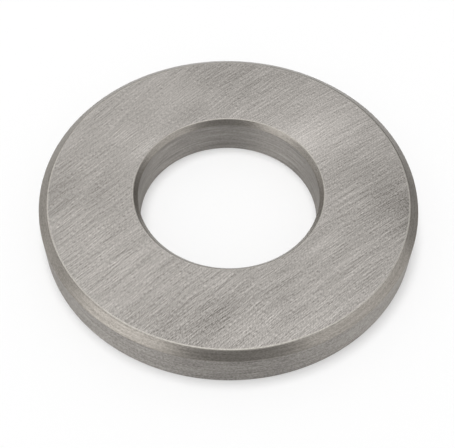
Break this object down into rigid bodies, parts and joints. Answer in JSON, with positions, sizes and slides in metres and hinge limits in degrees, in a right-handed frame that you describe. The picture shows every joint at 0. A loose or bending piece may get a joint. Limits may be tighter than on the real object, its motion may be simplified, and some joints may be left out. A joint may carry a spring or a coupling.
{
  "type": "flat washer",
  "caption": "Flat round steel washer with a plain bolt bore, belt-ground faces and chamfered upper edges, for spreading the load of a bolt head or nut.",
  "frame": {"origin": "on the bore's axis, at the level of the underside", "axes": "+Z along the bore's axis, out of the chamfered bearing face; X and Y are radial, and any turn about Z gives the same part"},
  "size_m": [0.0286, 0.0286, 0.0032],
  "materials": {
    "steel": "bare steel: faces belt ground with long straight scratches, chamfers, rim and bore turned"
  },
  "bodies": {
    "root": {"washer": "steel"}
  },
  "joints": []
}
